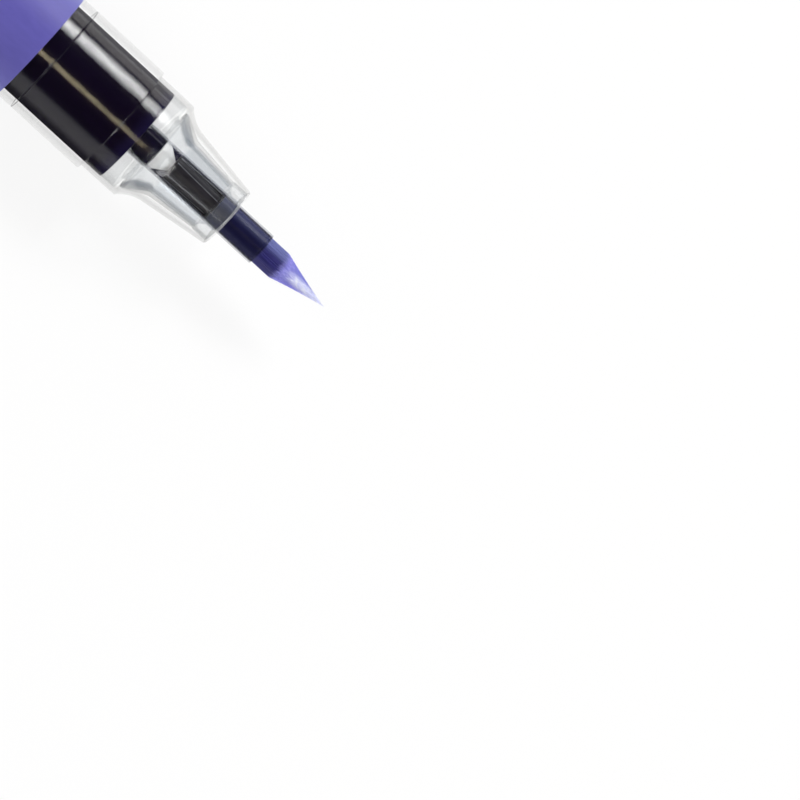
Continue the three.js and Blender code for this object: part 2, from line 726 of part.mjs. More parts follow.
// The marker is built upright, with its tip up, and laid down with its tip towards +X.
const marker = new THREE.Group();
marker.add(
  barrel(),
  label(),
  frontSection(),
  valveSeat(),
  guideCone(),
  noseBush(),
  valveCage(),
  seatGasket(),
  valvePlunger(),
  valveSpring(),
  paintFill(),
  nibSleeve(),
  paintInSleeve(),
  flowPlug(),
  nibHolder(),
  brushTuft(),
  tailPlug(),
  tailSeal(),
  mixingBall(),
  postedCap()
);
marker.rotation.z = -Math.PI / 2;

const part = new THREE.Group();
part.add(marker);
const box = new THREE.Box3().setFromObject(part, true);
const middle = box.getCenter(new THREE.Vector3());
marker.position.set(-middle.x, -middle.y, -box.min.z);

export default part;
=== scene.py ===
import math

import bpy
from mathutils import Matrix, Vector


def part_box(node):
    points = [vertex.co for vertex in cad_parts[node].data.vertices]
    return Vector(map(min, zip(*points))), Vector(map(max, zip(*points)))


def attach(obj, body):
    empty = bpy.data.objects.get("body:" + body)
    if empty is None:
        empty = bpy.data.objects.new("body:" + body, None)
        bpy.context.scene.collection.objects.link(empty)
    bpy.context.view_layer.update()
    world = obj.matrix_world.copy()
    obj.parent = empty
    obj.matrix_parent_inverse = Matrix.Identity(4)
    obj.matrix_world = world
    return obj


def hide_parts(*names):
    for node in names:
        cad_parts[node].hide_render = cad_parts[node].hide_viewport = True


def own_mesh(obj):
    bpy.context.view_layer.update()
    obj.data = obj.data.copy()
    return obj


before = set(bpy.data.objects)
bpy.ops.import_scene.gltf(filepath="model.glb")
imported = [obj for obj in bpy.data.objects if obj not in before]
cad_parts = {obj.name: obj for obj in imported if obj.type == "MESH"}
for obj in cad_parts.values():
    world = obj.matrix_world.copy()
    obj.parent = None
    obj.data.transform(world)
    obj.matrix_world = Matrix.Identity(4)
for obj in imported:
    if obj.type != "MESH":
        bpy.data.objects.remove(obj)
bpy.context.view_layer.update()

# Places on the marker. A station is millimetres along the axis, counted from the front step that the
# cap stops against. Stations in front of the step are positive. Names that end in _R are radii, and
# lengths are in millimetres. FLUTE_TURN and FLUTE_LEAN are in degrees, CLIP_TURN is in radians.

MM = 0.001
SEAM = -9.8
barrel_low, barrel_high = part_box("barrel")
AXIS_Y = (barrel_low.y + barrel_high.y) / 2
AXIS_Z = (barrel_low.z + barrel_high.z) / 2
STEP_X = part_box("front_section")[0].x - SEAM * MM

# Barrel, label and front section
GAP = 0.05
BARREL_R = 7.0
BARREL_REAR = -86.0
BORE_R = 6.0
LAP_R = BORE_R + 0.45
LAP_FRONT = SEAM + 3.5
LABEL_IN_R = BARREL_R + 0.025
LABEL_OUT_R = BARREL_R + 0.125
LABEL_REAR = BARREL_REAR + 1
LABEL_FRONT = SEAM - 2
SPIGOT_R = 6.5
SHOULDER_REAR = 4.9
WAIST = 7.65
WAIST_R = 4.95
NOSE_END = 15.75
NOSE_R = 3.76
MOUTH_R = NOSE_R - 0.32

# Disc, funnel and bush
STACK_R = 5.94
SLEEVE_HOLE_R = 2.1
SEAT_REAR = 2.45
SEAT_FRONT = 4.3
BOSS_FRONT = 5.2
FLANGE_REAR = 4.35
FLANGE_FRONT = 4.8
FUNNEL_FRONT = 13.65
BUSH_REAR = 13.75
BUSH_FRONT = 15.65
BUSH_R = 3.38

# Paint
COLUMN_R = BORE_R - 0.02
COLUMN_REAR = -76.55
COLUMN_FRONT = 2.4
FILM_R = BORE_R - 0.055
POCKET_R = 3.75
POCKET_REAR = -10.7
POCKET_FRONT = 1.55

# Sleeve, plug, stem and brush
SLEEVE_R = 2.0
SLEEVE_BORE_R = 1.8
SLEEVE_REAR = 2.05
SLEEVE_FRONT = 20.85
CORE_R = 1.74
SLUG_REAR = 2.6
SLUG_FRONT = 5.25
PLUG_REAR = 5.3
PLUG_SHOULDER = 6.05
PLUG_FRONT = 7.68
STEM_REAR = 7.45
STEM_FRONT = 13.95
FLUTE_COUNT = 4
FLUTE_TURN = 21.5
FLUTE_LEAN = 3.9
FLUTE_REAR = 7.6
FLUTE_FRONT = 13.65
PUDDLE_REAR = 6.0
PUDDLE_LEVEL = 0.2
TUFT_REAR = 14.0
BUNDLE_FRONT = 20.7
POINT_START = 23.35
POINT_LENGTH = 6.9
STRANDS = 900
STRAND_SIDES = 5
STRAND_R = 0.062
GOLDEN_ANGLE = math.pi * (3 - math.sqrt(5))

# Tail and cap
TAIL_END = -95.75
TAIL_STOP = -87.25
TAIL_FRONT = -81.5
TAIL_BORE_R = 4.94
TAIL_WALL = 1.1
GROOVE_REAR = -84.35
GROOVE_FRONT = -83.0
GROOVE_R = 5.49
SEAL_R = 5.745
SEAL_SECTION_R = 0.23
SEAL_STATION = (GROOVE_REAR + GROOVE_FRONT) / 2
CAP_MOUTH = -87.3
CAP_LENGTH = 36.0
CAP_END = CAP_MOUTH - CAP_LENGTH
CAP_DRAFT = 0.3
CAP_R = 7.5
CAP_BORE_R = 6.6
CAP_END_WALL = 1.3
CAP_RIM = 1.6
CLIP_TURN = math.radians(56.67)
CLIP_WIDTH = 4.6
CLIP_ROOT = CAP_END + 2
CLIP_FOOT = CLIP_ROOT + 3.6
CLIP_TIP = CAP_END + 30.5
CLIP_ROOT_R = 6.75
CLIP_HEEL_R = 10.15
CLIP_OUT_R = 9.8
CLIP_IN_R = 8.75
CLIP_BUMP_R = 7.85
CUP_REAR = CAP_MOUTH - 34.65
CUP_FLOOR = CUP_REAR + 1
CUP_FRONT = CAP_MOUTH - 11.65
CUP_OUT_R = 5.0
CUP_IN_R = 4.4


def at(station, radius=0.0, angle=0.0):
    """A point by station and radius in millimetres. The angle runs from straight up towards +Y."""
    return Vector((
        STEP_X + station * MM,
        AXIS_Y + radius * MM * math.sin(angle),
        AXIS_Z + radius * MM * math.cos(angle),
    ))


# Shapes: outlines of (radius, station) points, some with a third number that rounds the corner.


def arc_corner(before, corner, after, reach, steps=4):
    """Points that round one corner, with a point on each side that keeps the long faces flat."""
    longest_share = 0.44
    flat_margin = 1.12
    c = Vector(corner[:2])
    back, on = Vector(before[:2]) - c, Vector(after[:2]) - c
    start = back.normalized() * min(reach, back.length * longest_share)
    end = on.normalized() * min(reach, on.length * longest_share)
    made = [tuple(c + start * flat_margin)]
    for i in range(steps + 1):
        t = i / steps
        made.append(tuple(c + start * (1 - t) ** 2 + end * t ** 2))
    return made + [tuple(c + end * flat_margin)]


def rounded(outline, closed=True):
    """Rounds each point of an outline that carries a third number."""
    made = []
    count = len(outline)
    for i, point in enumerate(outline):
        if len(point) == 3 and (closed or 0 < i < count - 1):
            made += arc_corner(outline[i - 1], point, outline[(i + 1) % count], point[2])
        else:
            made.append(point[:2])
    return made


def bent(start, middle, end, steps):
    """A curve from start to end that leaves each along the line to middle."""
    a, m, b = Vector(start), Vector(middle), Vector(end)
    return [tuple(a.lerp(m, i / steps).lerp(m.lerp(b, i / steps), i / steps)) for i in range(steps + 1)]


def clear_selection():
    if bpy.context.mode != "OBJECT":
        bpy.ops.object.mode_set(mode="OBJECT")
    bpy.ops.object.select_all(action="DESELECT")


def select(things):
    """Selects these objects alone, and makes the first one active."""
    clear_selection()
    for thing in things:
        thing.select_set(True)
    bpy.context.view_layer.objects.active = things[0]


def traced(name, points, closed):
    """A chain of vertices drawn from one point to the next, left in edit mode."""
    clear_selection()
    bpy.ops.mesh.primitive_plane_add(size=MM, location=points[0])
    thing = bpy.context.object
    thing.name = name
    bpy.ops.object.transform_apply(location=True, rotation=True, scale=True)
    bpy.ops.object.mode_set(mode="EDIT")
    bpy.ops.mesh.select_all(action="SELECT")
    bpy.ops.mesh.merge(type="CENTER")
    for here, there in zip(points, points[1:]):
        bpy.ops.mesh.extrude_vertices_move(TRANSFORM_OT_translate={"value": there - here})
    if closed:
        bpy.ops.mesh.select_all(action="SELECT")
        bpy.ops.mesh.remove_doubles(threshold=1e-8)
        bpy.ops.object.mode_set(mode="OBJECT")
        mesh = thing.data
        ends = [v for v in mesh.vertices if sum(v.index in e.vertices for e in mesh.edges) == 1]
        for item in [*mesh.vertices, *mesh.edges, *mesh.polygons]:
            item.select = False
        for end in ends:
            end.select = True
        bpy.ops.object.mode_set(mode="EDIT")
        bpy.ops.mesh.select_mode(type="VERT")
        bpy.ops.mesh.edge_face_add()
    return thing


def close_up(thing, crease):
    """Merges seams and poles, turns every face outwards, and shades angles under crease smooth."""
    bpy.ops.mesh.select_all(action="SELECT")
    bpy.ops.mesh.remove_doubles(threshold=2e-7)
    bpy.ops.mesh.normals_make_consistent(inside=False)
    bpy.ops.object.mode_set(mode="OBJECT")
    bpy.ops.object.shade_smooth_by_angle(angle=math.radians(crease))
    return thing


def turned(name, outline, sides=128, crease=32):
    """Turns an outline about the marker's axis."""
    on_axis = outline[0][0] == 0 and outline[-1][0] == 0
    outline = rounded(outline, closed=not on_axis)
    thing = traced(name, [at(station, radius) for radius, station in outline], closed=not on_axis)
    bpy.ops.mesh.select_all(action="SELECT")
    bpy.ops.mesh.spin(steps=sides, angle=2 * math.pi, center=at(0), axis=(1, 0, 0))
    return close_up(thing, crease)


def carve(thing, cutters, operation="DIFFERENCE"):
    """Applies a boolean with each cutter and deletes the cutters."""
    for cutter in cutters:
        select([thing])
        modifier = thing.modifiers.new("carve", "BOOLEAN")
        modifier.operation = operation
        modifier.solver = "EXACT"
        modifier.object = cutter
        bpy.ops.object.modifier_apply(modifier=modifier.name)
    for cutter in cutters:
        bpy.data.objects.remove(cutter)
    return thing


def joined(things):
    """Joins several objects into the first one."""
    select(things)
    bpy.ops.object.join()
    return things[0]


def block(name, corners_low, corners_high, turn=0.0, tilt=0.0, pivot=(0, 0, 0), flare=0.0):
    """A block between two corners in station, side and height, turned about the axis.

    tilt leans it about pivot. flare moves its front end sideways, away from the middle, in millimetres.
    """
    clear_selection()
    low, high = Vector(corners_low), Vector(corners_high)
    bpy.ops.mesh.primitive_cube_add(size=1, location=(0, 0, 0))
    thing = bpy.context.object
    thing.name = name
    size, middle = (high - low) * MM, (high + low) / 2 * MM
    thing.data.transform(Matrix.Translation(middle) @ Matrix.Diagonal((*size, 1)))
    for vertex in thing.data.vertices:
        if vertex.co.x > middle.x:
            vertex.co.y += math.copysign(flare * MM, vertex.co.y)
    pin = Matrix.Translation(Vector(pivot) * MM)
    lean = pin @ Matrix.Rotation(tilt, 4, "Y") @ pin.inverted()
    thing.data.transform(Matrix.Translation(at(0)) @ Matrix.Rotation(-turn, 4, "X") @ lean)
    return thing


# Finishes


class Signal:
    """A shader socket that Python arithmetic can be written on."""

    def __init__(self, finish, socket):
        self.finish = finish
        self.socket = socket

    def _math(self, operation, a, b):
        return self.finish.node("Math", {"operation": operation}, {0: a, 1: b})

    def __add__(self, other):
        return self._math("ADD", self, other)

    def __sub__(self, other):
        return self._math("SUBTRACT", self, other)

    def __mul__(self, other):
        return self._math("MULTIPLY", self, other)

    def __rsub__(self, other):
        return self._math("SUBTRACT", other, self)

    def __gt__(self, other):
        return self._math("GREATER_THAN", self, other)

    __radd__ = __add__
    __rmul__ = __mul__

    def at_most(self, other):
        return self._math("MINIMUM", self, other)

    def ramp(self, low, high, start=0.0, end=1.0):
        """Eases from start to end as the value runs from low to high."""
        return self.finish.node(
            "MapRange",
            {"interpolation_type": "SMOOTHSTEP"},
            {"Value": self, "From Min": low, "From Max": high, "To Min": start, "To Max": end},
        )


class Finish:
    """A node material. Nodes are made by one method from their type, settings and sockets."""

    def __init__(self, name, tree=None):
        if tree is None:
            self.material = bpy.data.materials.new(name)
            self.material.use_nodes = True
            tree = self.material.node_tree
        self.tree = tree
        tree.nodes.clear()

    def node(self, kind, settings=None, values=None, out=0):
        made = self.tree.nodes.new("ShaderNode" + kind)
        for key, value in (settings or {}).items():
            setattr(made, key, value)
        for key, value in (values or {}).items():
            socket = made.inputs[key]
            if isinstance(value, Signal):
                self.tree.links.new(value.socket, socket)
            elif isinstance(value, tuple) and len(value) == 3 and socket.type == "RGBA":
                socket.default_value = (*value, 1)
            else:
                socket.default_value = value
        return Signal(self, made.outputs[out]) if made.outputs else None

    def place(self, stretch=(1, 1, 1)):
        """Object coordinates in millimetres from the step on the marker's axis, stretched."""
        origin = (STEP_X, AXIS_Y, AXIS_Z)
        return self.node(
            "Mapping",
            {"vector_type": "POINT"},
            {
                "Vector": self.node("TexCoord", out="Object"),
                "Scale": tuple(s / MM for s in stretch),
                "Location": tuple(-o / MM * s for o, s in zip(origin, stretch)),
            },
        )

    def along(self, axis):
        """Distance in millimetres along one axis; along X it is the station."""
        return self.node("SeparateXYZ", values={0: self.place()}, out=axis)

    def noise(self, scale, stretch=(1, 1, 1), detail=3.0, rough=0.55):
        """Fractal noise of about one lump per 1/scale millimetres, centred on 0.5."""
        return self.node(
            "TexNoise",
            values={"Vector": self.place(stretch), "Scale": scale, "Detail": detail, "Roughness": rough},
        )

    def blend(self, factor, a, b):
        return self.node("Mix", {"data_type": "RGBA"}, {"Factor": factor, 6: a, 7: b}, out=2)

    def bump(self, height, strength, distance=0.05):
        return self.node(
            "Bump", values={"Height": height, "Strength": strength, "Distance": distance * MM}
        )

    def mix(self, factor, a, b):
        return self.node("MixShader", values={0: factor, 1: a, 2: b})

    def shell(self, **sockets):
        """A Principled shader; underscores stand for the spaces in socket names."""
        return self.node("BsdfPrincipled", values={k.replace("_", " "): v for k, v in sockets.items()})

    def done(self, surface):
        self.node("OutputMaterial", values={"Surface": surface})
        return self.material


WATER_WHITE = (0.995, 0.996, 0.995)
COLOURLESS = (0.995, 0.995, 0.995)
WALL_GREY = (0.38, 0.38, 0.37)


def clear_plastic(name, tint, veil, haze=0.0, edge=0.0, gloss=0.14, ior=None):
    """Clear moulding: see-through, glossy outside, and greyer where the eye runs along the wall.

    haze and edge are the veil's share seen straight on, and what is added to it along the wall. Faces
    with no ior have no gloss: they are wetted by paint or welded to the next piece.
    """
    f = Finish(name)
    flow = f.noise(0.30, (0.35, 1, 1), 2.0)
    grazing = f.node("LayerWeight", values={"Blend": 0.5}, out="Facing")
    body = grazing.ramp(0.44, 0.60, haze, haze + edge) * flow.ramp(0.2, 0.8, 0.93, 1.07)
    clear = f.node("BsdfTransparent", values={"Color": tint})
    milk = f.shell(Base_Color=veil, Roughness=0.5, Specular_IOR_Level=0.0)
    seen = f.mix(body, clear, milk)
    if not ior:
        return f.done(seen)
    scuff = f.noise(2.0, (0.2, 1, 1), 3.0)
    bump = f.bump(flow, 0.006)
    behind = f.node("NewGeometry", out="Backfacing")
    mirror = f.node("Fresnel", values={"IOR": ior}) * (1 - behind)
    rough = scuff.ramp(0.3, 0.75, gloss, gloss + 0.05)
    shine = f.node("BsdfGlossy", values={"Color": (1.0, 1.0, 1.0), "Roughness": rough, "Normal": bump})
    return f.done(f.mix(mirror, seen, shine))


def grained(name, scale, stretch, detail, dark, light, rough, relief, **sockets):
    """A finish that one noise varies in colour, roughness and relief.

    rough is the least and the greatest roughness, and relief the bump's strength and depth.
    """
    f = Finish(name)
    grain = f.noise(scale, stretch, detail)
    return f.done(f.shell(
        Base_Color=f.blend(grain.ramp(0.3, 0.7), dark, light),
        Roughness=grain.ramp(0.3, 0.7, *rough),
        Normal=f.bump(grain, *relief),
        **sockets,
    ))


def paint_finish():
    """Nearly black paint that turns purple where it thins against the disc."""
    f = Finish("paint_seen_through_wall")
    drift = f.noise(0.16, (0.25, 1, 1), 4.0)
    grit = f.noise(2.4, (0.5, 1, 1), 3.0)
    deep = f.blend(drift.ramp(0.35, 0.7), (0.0022, 0.0004, 0.0070), (0.0030, 0.0010, 0.0100))
    deep = f.blend(f.along("X").ramp(0.6, COLUMN_FRONT, 0.0, 0.6), deep, (0.010, 0.007, 0.040))
    colour = f.blend(grit.ramp(0.60, 0.85, 0.0, 0.5), deep, (0.006, 0.004, 0.016))
    return f.done(f.shell(Base_Color=colour, Roughness=0.5, IOR=1.03))


def label_finish():
    """Satin film whose edge laps over itself in a line along the +Y side."""
    f = Finish("label_film")
    fibre = f.noise(1.6, (0.3, 1, 1), 4.0)
    cloud = f.noise(0.05, (1, 1, 1), 2.0)
    colour = f.blend(fibre.ramp(0.3, 0.7), (0.083, 0.068, 0.368), (0.093, 0.077, 0.398))
    colour = f.blend(cloud.ramp(0.35, 0.7, 0.0, 0.5), colour, (0.108, 0.093, 0.440))
    height = f.along("Z")
    lap = height.ramp(-2.62, -2.5) * height.ramp(-2.4, 2.0, 1.0, 0.0) * (f.along("Y") > 0.0)
    return f.done(f.shell(
        Base_Color=colour,
        Roughness=fibre.ramp(0.3, 0.7, 0.52, 0.60),
        Normal=f.bump(fibre * 0.08 + lap * 1.6, 1.0, 0.04),
        IOR=1.5,
        Sheen_Weight=1.0,
        Sheen_Roughness=0.5,
        Sheen_Tint=(0.60, 0.68, 1.0),
    ))


def cap_finish():
    """Glossy moulding with a faint swirl of pigment and fine scuffs."""
    f = Finish("cap_moulding")
    swirl = f.noise(0.12, (0.4, 1, 1), 3.0)
    scuff = f.noise(0.9, (0.8, 1, 1), 4.0)
    colour = f.blend(swirl.ramp(0.3, 0.7), (0.125, 0.104, 0.460), (0.150, 0.127, 0.520))
    colour = f.blend(scuff.ramp(0.62, 0.8, 0.0, 0.06), colour, (0.30, 0.28, 0.68))
    bump = f.bump(swirl + scuff * 0.015, 0.10)
    rough = scuff.ramp(0.35, 0.75, 0.24, 0.30)
    return f.done(f.shell(Base_Color=colour, Roughness=rough, Normal=bump, IOR=1.5))


def bristle_finish():
    """Filaments: soaked navy in the sleeve, thinner violet outside it, and pale at the point. Painted
    light lightens the back and front sides of the shank, and leaves a painted highlight along the middle
    of the point.
    """
    f = Finish("bristle")
    streak = f.noise(5.0, (0.07, 1, 1), 3.0)
    strand = f.noise(9.0, (0.05, 1, 1), 2.0, 0.5)
    side = f.along("Y") * -0.94 - f.along("Z") * 0.34
    shade = strand.ramp(0.35, 0.7)

    def streaks_and_painted_light(dark, light, back, back_painted_light, front, front_painted_light):
        """Streaks of two shades, with painted light towards the back and the front of the brush."""
        return f.blend(front, f.blend(back, f.blend(shade, dark, light), back_painted_light), front_painted_light)

    # Painted light: the back side, towards the key lamp, and the front side get lighter colours in and
    # outside the sleeve; at the point they get darker ones, which leaves a painted highlight along the
    # middle.
    back = side.ramp(-1.25, -0.1, 1.0, 0.0)
    front = side.ramp(0.5, 1.3)
    wet = streaks_and_painted_light(
        (0.0012, 0.0010, 0.028), (0.0030, 0.0026, 0.042),
        back, (0.024, 0.029, 0.105), front, (0.012, 0.012, 0.055),
    )
    violet = streaks_and_painted_light(
        (0.020, 0.017, 0.125), (0.042, 0.037, 0.210),
        back, (0.170, 0.190, 0.450), front, (0.065, 0.060, 0.200),
    )
    pale = streaks_and_painted_light(
        (0.68, 0.70, 0.98), (0.90, 0.92, 1.0),
        side.ramp(-0.75, -0.2, 1.0, 0.0), (0.26, 0.27, 0.70),
        side.ramp(0.2, 0.9), (0.30, 0.29, 0.78),
    )
    lilac = f.blend(shade, (0.23, 0.22, 0.66), (0.40, 0.39, 0.86))
    edge = f.along("X") + (streak - 0.5) * 0.2
    tip = f.along("X") + (streak - 0.5) * 1.6
    colour = f.blend(edge.ramp(SLEEVE_FRONT - 0.12, SLEEVE_FRONT + 0.12), wet, violet)
    colour = f.blend(tip.ramp(POINT_START - 0.2, POINT_START + 0.7), colour, lilac)
    colour = f.blend(tip.ramp(POINT_START + 0.6, POINT_START + 2.8), colour, pale)
    return f.done(f.shell(
        Base_Color=colour,
        Roughness=0.5,
        Normal=f.bump(strand, 0.25, 0.02),
        Specular_IOR_Level=0.12,
        Sheen_Weight=0.2,
        Sheen_Roughness=0.4,
        Sheen_Tint=(0.5, 0.54, 1.0),
    ))


CLEAR = clear_plastic("clear_outer", WATER_WHITE, WALL_GREY, edge=0.14, gloss=0.12, ior=1.50)
NOSE = clear_plastic("clear_nose", WATER_WHITE, WALL_GREY, edge=0.21, gloss=0.12, ior=1.50)
WETTED = clear_plastic("clear_wetted", WATER_WHITE, WALL_GREY)
INNER = clear_plastic("clear_inner", (0.965, 0.97, 0.975), (0.24, 0.27, 0.31), edge=0.50, ior=1.22)
TUBE = clear_plastic("clear_funnel_tube", (0.905, 0.915, 0.925), (0.30, 0.33, 0.37), edge=0.26, ior=1.22)
SEAT = clear_plastic("clear_seat", (0.87, 0.875, 0.88), (0.45, 0.47, 0.49), edge=0.08, ior=1.22)
BUSH = clear_plastic(
    "clear_bush", (0.95, 0.955, 0.96), (0.42, 0.45, 0.49), haze=0.07, edge=0.05, ior=1.22
)
MOUTH = clear_plastic("frosted_mouth", COLOURLESS, (0.93, 0.93, 0.93), haze=0.45, edge=0.10)
# Painted shade: a dark veil that draws the shade in the seam's gap as a dark line.
SHADED = clear_plastic(
    "shaded_edge", WATER_WHITE, (0.03, 0.03, 0.04), haze=0.40, edge=0.30, gloss=0.12, ior=1.50
)
SLEEVE = clear_plastic("clear_sleeve", COLOURLESS, (0.22, 0.23, 0.30), edge=0.30, gloss=0.22, ior=1.18)
FILMED = clear_plastic("filmed_bore", COLOURLESS, (0.025, 0.024, 0.045), edge=0.75)
PAINT = paint_finish()
LABEL = label_finish()
CAP = cap_finish()
STEM = grained(
    "stem_plastic", scale=1.8, stretch=(0.3, 1, 1), detail=4.0,
    dark=(0.018, 0.015, 0.020), light=(0.032, 0.028, 0.036),
    rough=(0.26, 0.36), relief=(0.15, 0.03), Specular_IOR_Level=0.14,
)
# Painted glints: a pale grey that stands in for the highlights along the stem's flute edges.
STEM_GLINT = grained(
    "stem_painted_glint", scale=3.0, stretch=(0.3, 1, 1), detail=3.0,
    dark=(0.30, 0.31, 0.34), light=(0.48, 0.49, 0.52),
    rough=(0.4, 0.55), relief=(0.1, 0.02),
)
DARK = grained(
    "dark_plastic", scale=1.2, stretch=(0.4, 1, 1), detail=4.0,
    dark=(0.0030, 0.0014, 0.0075), light=(0.0060, 0.0040, 0.0130),
    rough=(0.35, 0.48), relief=(0.12, 0.03), Specular_IOR_Level=0.1,
)
WHITE = grained(
    "white_plastic", scale=0.5, stretch=(0.5, 1, 1), detail=3.0,
    dark=(0.90, 0.90, 0.89), light=(0.96, 0.96, 0.95),
    rough=(0.30, 0.42), relief=(0.08, 0.04),
)
RUBBER = grained(
    "seal_rubber", scale=4.0, stretch=(1, 1, 1), detail=4.0,
    dark=(0.012, 0.012, 0.014), light=(0.028, 0.028, 0.031),
    rough=(0.62, 0.8), relief=(0.3, 0.02),
)
STEEL = grained(
    "bright_steel", scale=3.0, stretch=(1, 1, 1), detail=4.0,
    dark=(0.58, 0.59, 0.61), light=(0.70, 0.71, 0.73),
    rough=(0.16, 0.28), relief=(0.06, 0.01), Metallic=1.0,
)
BRISTLE = bristle_finish()


def give_finish(thing, material):
    thing.data.materials.clear()
    thing.data.materials.append(material)


def other_finish(thing, material, chosen):
    """Gives one more material to the faces whose station and radius are chosen."""
    thing.data.materials.append(material)
    for face in thing.data.polygons:
        spot = (face.center - at(0)) / MM
        if chosen(spot.x, math.hypot(spot.y, spot.z)):
            face.material_index = len(thing.data.materials) - 1


def finished(thing, material, body, node=None):
    """Gives a piece its material, attaches it to the body that it moves with, and hides the CAD node
    that it stands for.
    """
    give_finish(thing, material)
    if node:
        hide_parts(node)
    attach(thing, body)
    return thing


# Barrel, label and front section

tube = finished(turned("barrel_tube", [
    (BORE_R, BARREL_REAR, 0.12),
    (BARREL_R, BARREL_REAR, 0.2),
    (BARREL_R, SEAM - GAP, 0.09),
    (LAP_R, SEAM - GAP, 0.05),
    (LAP_R, LAP_FRONT, 0.08),
    (BORE_R, LAP_FRONT, 0.08),
]), CLEAR, "barrel_body", "barrel")
other_finish(tube, WETTED, lambda station, radius: radius < BARREL_R - 0.2)

finished(turned("label_wrap", [
    (LABEL_IN_R, LABEL_REAR, 0.03),
    (LABEL_OUT_R, LABEL_REAR, 0.05),
    (LABEL_OUT_R, LABEL_FRONT, 0.05),
    (LABEL_IN_R, LABEL_FRONT, 0.03),
]), LABEL, "barrel_body", "label")

shoulder = bent((SPIGOT_R - 0.05, SHOULDER_REAR), (5.185, 6.05), (WAIST_R, WAIST), 14)
moulding = finished(turned("front_moulding", [
    (LAP_R + 0.06, SEAM, 0.05),
    (BARREL_R, SEAM, 0.09),
    (BARREL_R, 0, 0.14),
    (SPIGOT_R, 0, 0.06),
    (SPIGOT_R, 3.1),
    (SPIGOT_R - 0.005, 3.9),
    *shoulder,
    (NOSE_R, NOSE_END, 0.22),
    (MOUTH_R, NOSE_END, 0.08),
    (MOUTH_R, BUSH_REAR - GAP, 0.08),
    (3.36, BUSH_REAR - GAP, 0.10),
    (4.02, WAIST, 0.5),
    (5.32, 5.30, 0.3),
    (5.52, FLANGE_FRONT + GAP, 0.1),
    (BORE_R, FLANGE_FRONT + GAP, 0.15),
    (BORE_R, LAP_FRONT + GAP, 0.06),
    (LAP_R + 0.06, LAP_FRONT + GAP, 0.08),
], crease=24), CLEAR, "barrel_body", "front_section")


def wetted_bore(station, radius):
    reach = BARREL_R - 0.2 if station < 0 else BORE_R + 0.2
    return station < FLANGE_FRONT + 0.07 and radius < reach


other_finish(moulding, NOSE, lambda station, radius: station > 0.3)
other_finish(moulding, WETTED, wetted_bore)
# Painted shade: the moulding's rear corner at the seam gets the dark veil, so the seam shows as a dark
# line.
other_finish(
    moulding, SHADED, lambda station, radius: station < SEAM + 0.1 and radius > BARREL_R - 0.15
)
other_finish(moulding, MOUTH, lambda station, radius: station > NOSE_END - 0.06)

# Disc, funnel and bush inside the front section

disc = finished(turned("seat_disc", [
    (SLEEVE_HOLE_R, SEAT_REAR, 0.08),
    (STACK_R, SEAT_REAR, 0.08),
    (STACK_R, SEAT_FRONT, 0.03),
    (4.616, SEAT_FRONT, 0.03),
    (4.153, BOSS_FRONT, 0.05),
    (SLEEVE_HOLE_R, BOSS_FRONT, 0.04),
]), SEAT, "barrel_body", "valve_seat")
other_finish(
    disc, WETTED,
    lambda station, radius: -0.1 < station - SEAT_FRONT < 0.02 or station > BOSS_FRONT - 0.06,
)

funnel = finished(turned("guide_funnel", [
    (4.88, FLANGE_REAR, 0.03),
    (STACK_R, FLANGE_REAR, 0.03),
    (STACK_R, FLANGE_FRONT, 0.03),
    (5.40, FLANGE_FRONT, 0.03),
    (5.18, 5.34, 0.2),
    (3.64, 7.54, 0.25),
    (3.22, FUNNEL_FRONT, 0.08),
    (2.92, FUNNEL_FRONT, 0.08),
    (3.40, 7.24, 0.25),
    (4.88, 5.06, 0.3),
], crease=40), INNER, "barrel_body", "guide_cone")
other_finish(funnel, WETTED, lambda station, radius: station < FLANGE_FRONT + 0.15)
other_finish(funnel, TUBE, lambda station, radius: station > 8.2)

bush = finished(turned("mouth_bush", [
    (SLEEVE_HOLE_R, 14.55, 0.06),
    (2.58, BUSH_REAR, 0.06),
    (BUSH_R, BUSH_REAR, 0.10),
    (BUSH_R, BUSH_FRONT, 0.10),
    (SLEEVE_HOLE_R, BUSH_FRONT, 0.08),
]), BUSH, "barrel_body", "nose_bush")
other_finish(bush, MOUTH, lambda station, radius: station > BUSH_FRONT - 0.05)

# Paint: the column with a pocket round the valve, a film past its end, and the slug in the sleeve

finished(turned("paint_column", [
    (0, COLUMN_REAR),
    (COLUMN_R, COLUMN_REAR, 0.3),
    (COLUMN_R, COLUMN_FRONT, 0.01),
    (FILM_R, COLUMN_FRONT),
    (FILM_R, POCKET_FRONT),
    (POCKET_R, POCKET_FRONT, 0.06),
    (POCKET_R, POCKET_REAR, 0.1),
    (0, POCKET_REAR),
]), PAINT, "barrel_body", "paint_fill")

finished(turned("paint_slug", [
    (0, SLUG_REAR),
    (1.45, SLUG_REAR, 0.12),
    (CORE_R, SLUG_REAR + 1.2, 0.4),
    (CORE_R, SLUG_FRONT, 0.04),
    (0, SLUG_FRONT),
], sides=96), PAINT, "nib", "paint_in_sleeve")

# Sleeve, plug and fluted stem

sleeve = turned("brush_sleeve", [
    (SLEEVE_BORE_R, SLEEVE_REAR, 0.03),
    (SLEEVE_R, SLEEVE_REAR, 0.06),
    (SLEEVE_R, SLEEVE_FRONT, 0.06),
    (SLEEVE_BORE_R, SLEEVE_FRONT, 0.03),
    (SLEEVE_BORE_R, 7.6),
    (SLEEVE_BORE_R, 5.35),
], sides=96)
notches = [
    block("notch", (1.0, -0.3, 1.0), (2.95, 0.3, 3.0), turn=math.radians(90 * i)) for i in range(4)
]
finished(carve(sleeve, notches), SLEEVE, "nib", "nib_sleeve")
other_finish(
    sleeve, FILMED,
    lambda station, radius: (
        radius < SLEEVE_BORE_R + 0.05 and not PLUG_REAR + 0.1 < station < STEM_REAR + 0.05
    ),
)

